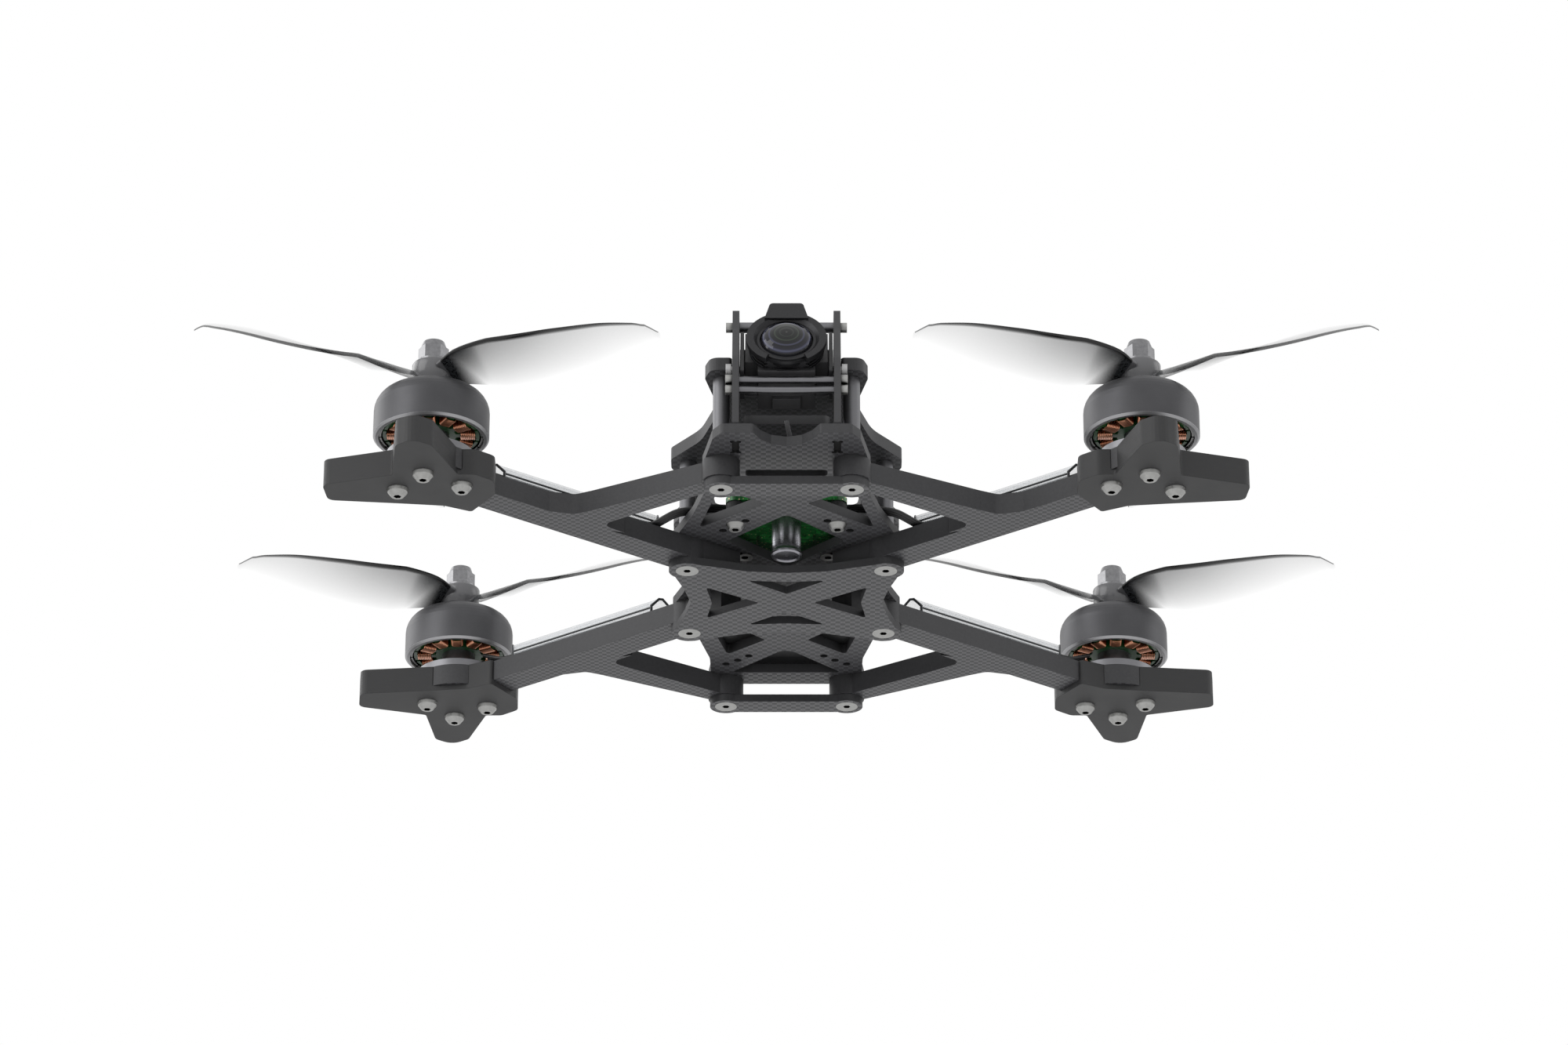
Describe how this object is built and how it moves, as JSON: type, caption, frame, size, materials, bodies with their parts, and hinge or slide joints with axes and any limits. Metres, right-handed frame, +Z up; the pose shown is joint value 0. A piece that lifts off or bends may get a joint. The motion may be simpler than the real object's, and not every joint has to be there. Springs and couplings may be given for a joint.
{
  "type": "quadcopter drone",
  "caption": "Camera quadcopter with a flat carbon airframe, forked arms, outrunner motors, translucent propellers and a tilting nose camera in a cage.",
  "frame": {"origin": "centre of the lower clamp plate's underside", "axes": "+Z up, -Y towards the nose and camera, +X to the drone's own left"},
  "size_m": [0.3422, 0.2737, 0.0555],
  "materials": {
    "carbon_plate": "woven carbon laminate, satin face and plain cut edge",
    "carbon_arm": "thick woven carbon laminate, satin",
    "tpu": "printed TPU, fine layer lines",
    "zinc_screw": "zinc-plated steel screws with black hex sockets",
    "aluminium_post": "turned aluminium, satin grey",
    "aluminium_base": "machined aluminium, satin",
    "bell_grey": "anodised satin grey with a bright machined rim",
    "magnet": "nickel-plated magnets",
    "stator_green": "green epoxy coated laminations",
    "copper": "enamelled copper wire",
    "polycarbonate": "smoky translucent polycarbonate",
    "nut_steel": "plated steel flanged lock nut",
    "duct_clear": "milky translucent plastic",
    "silicone_wire": "soft black silicone",
    "pcb_green": "green circuit board with components",
    "pcb_black": "black circuit board with components",
    "rubber_spacer": "soft grommet",
    "can": "drawn aluminium can",
    "pad_rubber": "ribbed grip pad",
    "camera_plastic": "moulded dark grey plastic",
    "bracket_metal": "dark painted bracket",
    "lens_black": "black anodised lens barrel",
    "lens_glass": "coated glass",
    "transmitter_case": "black anodised finned case",
    "cable_grey": "grey insulated lead"
  },
  "bodies": {
    "frame": {"clamp_plate": "carbon_plate", "front_brace_plate": "carbon_plate", "rear_brace_plate": "carbon_plate", "mid_plate": "carbon_plate", "top_plate": "carbon_plate", "arm_front_right": "carbon_arm", "arm_front_left": "carbon_arm", "arm_rear_right": "carbon_arm", "arm_rear_left": "carbon_arm", "battery_pad": "pad_rubber", "standoffs": "aluminium_post", "lower_screws": "zinc_screw", "upper_screws": "zinc_screw", "motor_screws": "zinc_screw", "stack_screws": "zinc_screw", "cage_screws": "zinc_screw", "video_transmitter": "transmitter_case", "foot_front_right": "tpu", "foot_front_left": "tpu", "foot_rear_right": "tpu", "foot_rear_left": "tpu", "motor_base_front_right": "aluminium_base", "motor_base_front_left": "aluminium_base", "motor_base_rear_right": "aluminium_base", "motor_base_rear_left": "aluminium_base", "stator_front_right": "stator_green", "stator_front_left": "stator_green", "stator_rear_right": "stator_green", "stator_rear_left": "stator_green", "windings": "copper", "wire_ducts": "duct_clear", "motor_wires": "silicone_wire", "esc_board": "pcb_green", "flight_controller": "pcb_black", "stack_spacers": "rubber_spacer", "capacitor": "can", "cage_plate_right": "carbon_plate", "cage_plate_left": "carbon_plate", "cage_tubes": "aluminium_post", "camera_cable": "cable_grey"},
    "rotor_front_right": {"bell_front_right": "bell_grey", "magnets_front_right": "magnet", "propeller_front_right": "polycarbonate", "prop_nut_front_right": "nut_steel"},
    "rotor_front_left": {"bell_front_left": "bell_grey", "magnets_front_left": "magnet", "propeller_front_left": "polycarbonate", "prop_nut_front_left": "nut_steel"},
    "rotor_rear_right": {"bell_rear_right": "bell_grey", "magnets_rear_right": "magnet", "propeller_rear_right": "polycarbonate", "prop_nut_rear_right": "nut_steel"},
    "rotor_rear_left": {"bell_rear_left": "bell_grey", "magnets_rear_left": "magnet", "propeller_rear_left": "polycarbonate", "prop_nut_rear_left": "nut_steel"},
    "camera": {"camera_body": "camera_plastic", "camera_bracket": "bracket_metal", "lens_barrel": "lens_black", "lens_glass": "lens_glass"}
  },
  "joints": [
    {"name": "rotor_front_right_spin", "type": "hinge", "parent": "frame", "child": "rotor_front_right", "pos_m": [-0.104, -0.078, 0.0365], "axis": [0, 0, 1], "continuous": true},
    {"name": "rotor_front_left_spin", "type": "hinge", "parent": "frame", "child": "rotor_front_left", "pos_m": [0.104, -0.078, 0.0365], "axis": [0, 0, 1], "continuous": true},
    {"name": "rotor_rear_right_spin", "type": "hinge", "parent": "frame", "child": "rotor_rear_right", "pos_m": [-0.104, 0.078, 0.0365], "axis": [0, 0, 1], "continuous": true},
    {"name": "rotor_rear_left_spin", "type": "hinge", "parent": "frame", "child": "rotor_rear_left", "pos_m": [0.104, 0.078, 0.0365], "axis": [0, 0, 1], "continuous": true},
    {"name": "camera_tilt", "type": "hinge", "parent": "frame", "child": "camera", "pos_m": [0, -0.0865, 0.035], "axis": [-1, 0, 0], "range_deg": [-6, 20]}
  ]
}
